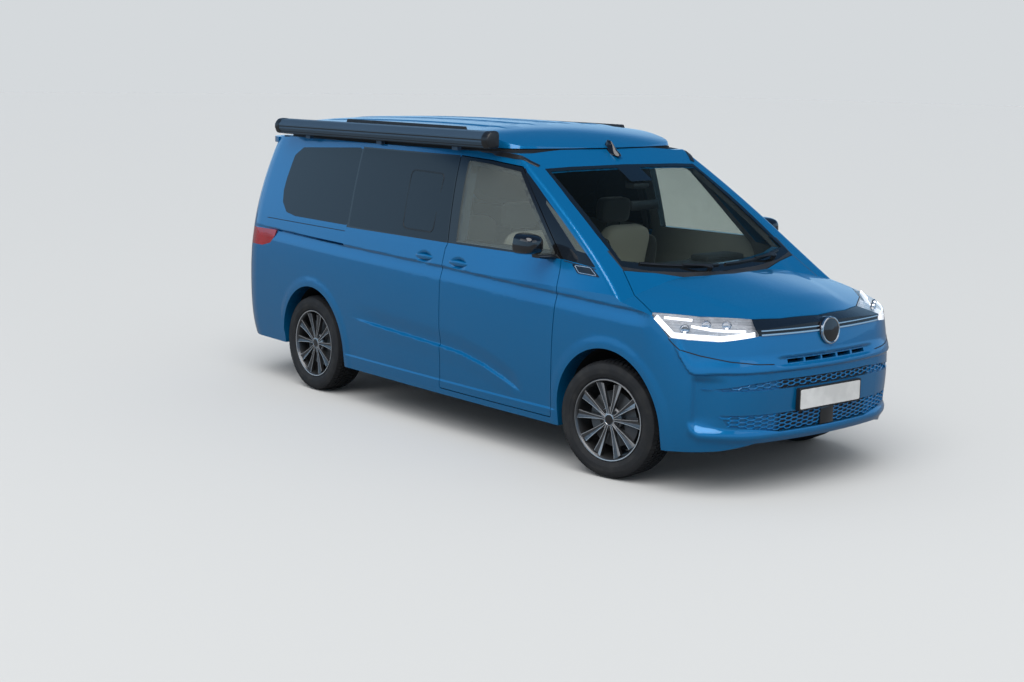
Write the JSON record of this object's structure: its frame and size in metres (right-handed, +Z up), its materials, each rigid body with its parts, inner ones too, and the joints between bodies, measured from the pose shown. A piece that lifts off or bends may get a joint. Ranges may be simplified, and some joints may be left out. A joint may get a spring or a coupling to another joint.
{
  "type": "camper van with a lifting roof",
  "caption": "Van-based camper with a closed lifting roof, hinged front doors, bonnet and tailgate, steered front wheels and a cased awning along the right edge of the roof.",
  "frame": {"origin": "on the ground, midway along the body's length and on its centreline", "axes": "+X to the front, +Y to the vehicle's left, +Z up"},
  "size_m": [5.1733, 2.2422, 1.9909],
  "materials": {
    "body_paint": "blue metallic lacquer",
    "body_trim": "black gloss",
    "black_plastic": "grained black",
    "privacy_glass": "dark tinted glass",
    "clear_glass": "lightly tinted glass",
    "lamp_lens": "clear lens over bright reflectors",
    "tail_lens": "red lens",
    "tyre_rubber": "black rubber",
    "alloy": "grey lacquer with machined edges",
    "steel": "plain steel",
    "iron": "dark iron",
    "underbody": "dark underbody coat",
    "awning_case": "dark grey anodised",
    "upholstery": "pale woven cloth",
    "interior_trim": "dark grained trim",
    "furniture": "pale laminate",
    "canvas": "grey canvas"
  },
  "bodies": {
    "van": {"body_shell": "body_paint", "floor_pan": "underbody", "wheelhouses": "underbody", "firewall": "underbody", "front_bumper": "body_paint", "rear_bumper": "body_paint", "grilles": "body_trim", "headlamps": "lamp_lens", "tail_lamps": "tail_lens", "windscreen": "clear_glass", "side_glass": "privacy_glass", "sliding_doors": "body_paint", "cowl_panel": "black_plastic", "dashboard": "interior_trim", "seats": "upholstery", "kitchen_unit": "furniture", "awning": "awning_case", "subframes": "iron", "rear_axle": "iron", "engine_block": "iron", "fuel_tank": "underbody", "exhaust": "steel", "roof_bellows": "canvas", "roof_seal": "black_plastic"},
    "wheel_front_left": {"tyre_front_left": "tyre_rubber", "rim_front_left": "alloy", "brake_disc_front_left": "steel"},
    "wheel_front_right": {"tyre_front_right": "tyre_rubber", "rim_front_right": "alloy", "brake_disc_front_right": "steel"},
    "wheel_rear_left": {"tyre_rear_left": "tyre_rubber", "rim_rear_left": "alloy", "brake_disc_rear_left": "steel"},
    "wheel_rear_right": {"tyre_rear_right": "tyre_rubber", "rim_rear_right": "alloy", "brake_disc_rear_right": "steel"},
    "knuckle_left_body": {"knuckle_left": "iron"},
    "knuckle_right_body": {"knuckle_right": "iron"},
    "door_left_body": {"door_left": "body_paint", "door_glass_left": "clear_glass", "mirror_left": "body_trim"},
    "door_right_body": {"door_right": "body_paint", "door_glass_right": "clear_glass", "mirror_right": "body_trim"},
    "bonnet_body": {"bonnet": "body_paint"},
    "tailgate_body": {"tailgate": "body_paint", "tailgate_glass": "privacy_glass", "tailgate_lamps": "tail_lens"},
    "pop_roof_body": {"pop_roof": "body_paint", "roof_rails": "black_plastic"},
    "steering_wheel_body": {"steering_wheel": "interior_trim"}
  },
  "joints": [
    {"name": "steer_left", "type": "hinge", "parent": "van", "child": "knuckle_left_body", "pos_m": [1.6925, 0.8, 0.178], "axis": [0, 0, 1], "range_deg": [-45, 25]},
    {"name": "steer_right", "type": "hinge", "parent": "van", "child": "knuckle_right_body", "pos_m": [1.6925, -0.8, 0.178], "axis": [0, 0, 1], "range_deg": [-45, 25]},
    {"name": "spin_front_left", "type": "hinge", "parent": "knuckle_left_body", "child": "wheel_front_left", "pos_m": [1.6925, 0.8, 0.346], "axis": [-0.1736, 0.9848, 0], "continuous": true},
    {"name": "spin_front_right", "type": "hinge", "parent": "knuckle_right_body", "child": "wheel_front_right", "pos_m": [1.6925, -0.8, 0.346], "axis": [-0.1736, 0.9848, 0], "continuous": true},
    {"name": "spin_rear_left", "type": "hinge", "parent": "van", "child": "wheel_rear_left", "pos_m": [-1.4315, 0.8, 0.346], "axis": [0, 1, 0], "continuous": true},
    {"name": "spin_rear_right", "type": "hinge", "parent": "van", "child": "wheel_rear_right", "pos_m": [-1.4315, -0.8, 0.346], "axis": [0, 1, 0], "continuous": true},
    {"name": "door_left_hinge", "type": "hinge", "parent": "van", "child": "door_left_body", "pos_m": [1.332, 0.966, 0.75], "axis": [0, 0, -1], "range_deg": [0, 65]},
    {"name": "door_right_hinge", "type": "hinge", "parent": "van", "child": "door_right_body", "pos_m": [1.332, -0.966, 0.75], "axis": [0, 0, 1], "range_deg": [0, 65]},
    {"name": "bonnet_hinge", "type": "hinge", "parent": "van", "child": "bonnet_body", "pos_m": [1.6, 0, 1.185], "axis": [0, -1, 0], "range_deg": [0, 50]},
    {"name": "tailgate_hinge", "type": "hinge", "parent": "van", "child": "tailgate_body", "pos_m": [-2.122, 0, 1.83], "axis": [0, 1, 0], "range_deg": [0, 85]},
    {"name": "pop_roof_hinge", "type": "hinge", "parent": "van", "child": "pop_roof_body", "pos_m": [-2.15, 0, 1.85], "axis": [0, -1, 0], "range_deg": [0, 20]},
    {"name": "steering_wheel_turn", "type": "hinge", "parent": "van", "child": "steering_wheel_body", "pos_m": [1.08, 0.38, 1], "axis": [-0.8829, 0, 0.4695], "range_deg": [-680, 380]}
  ],
  "couplings": [
    {"joint": "steer_right", "follows": "steer_left", "ratio": 1},
    {"joint": "steering_wheel_turn", "follows": "steer_left", "ratio": 15}
  ]
}
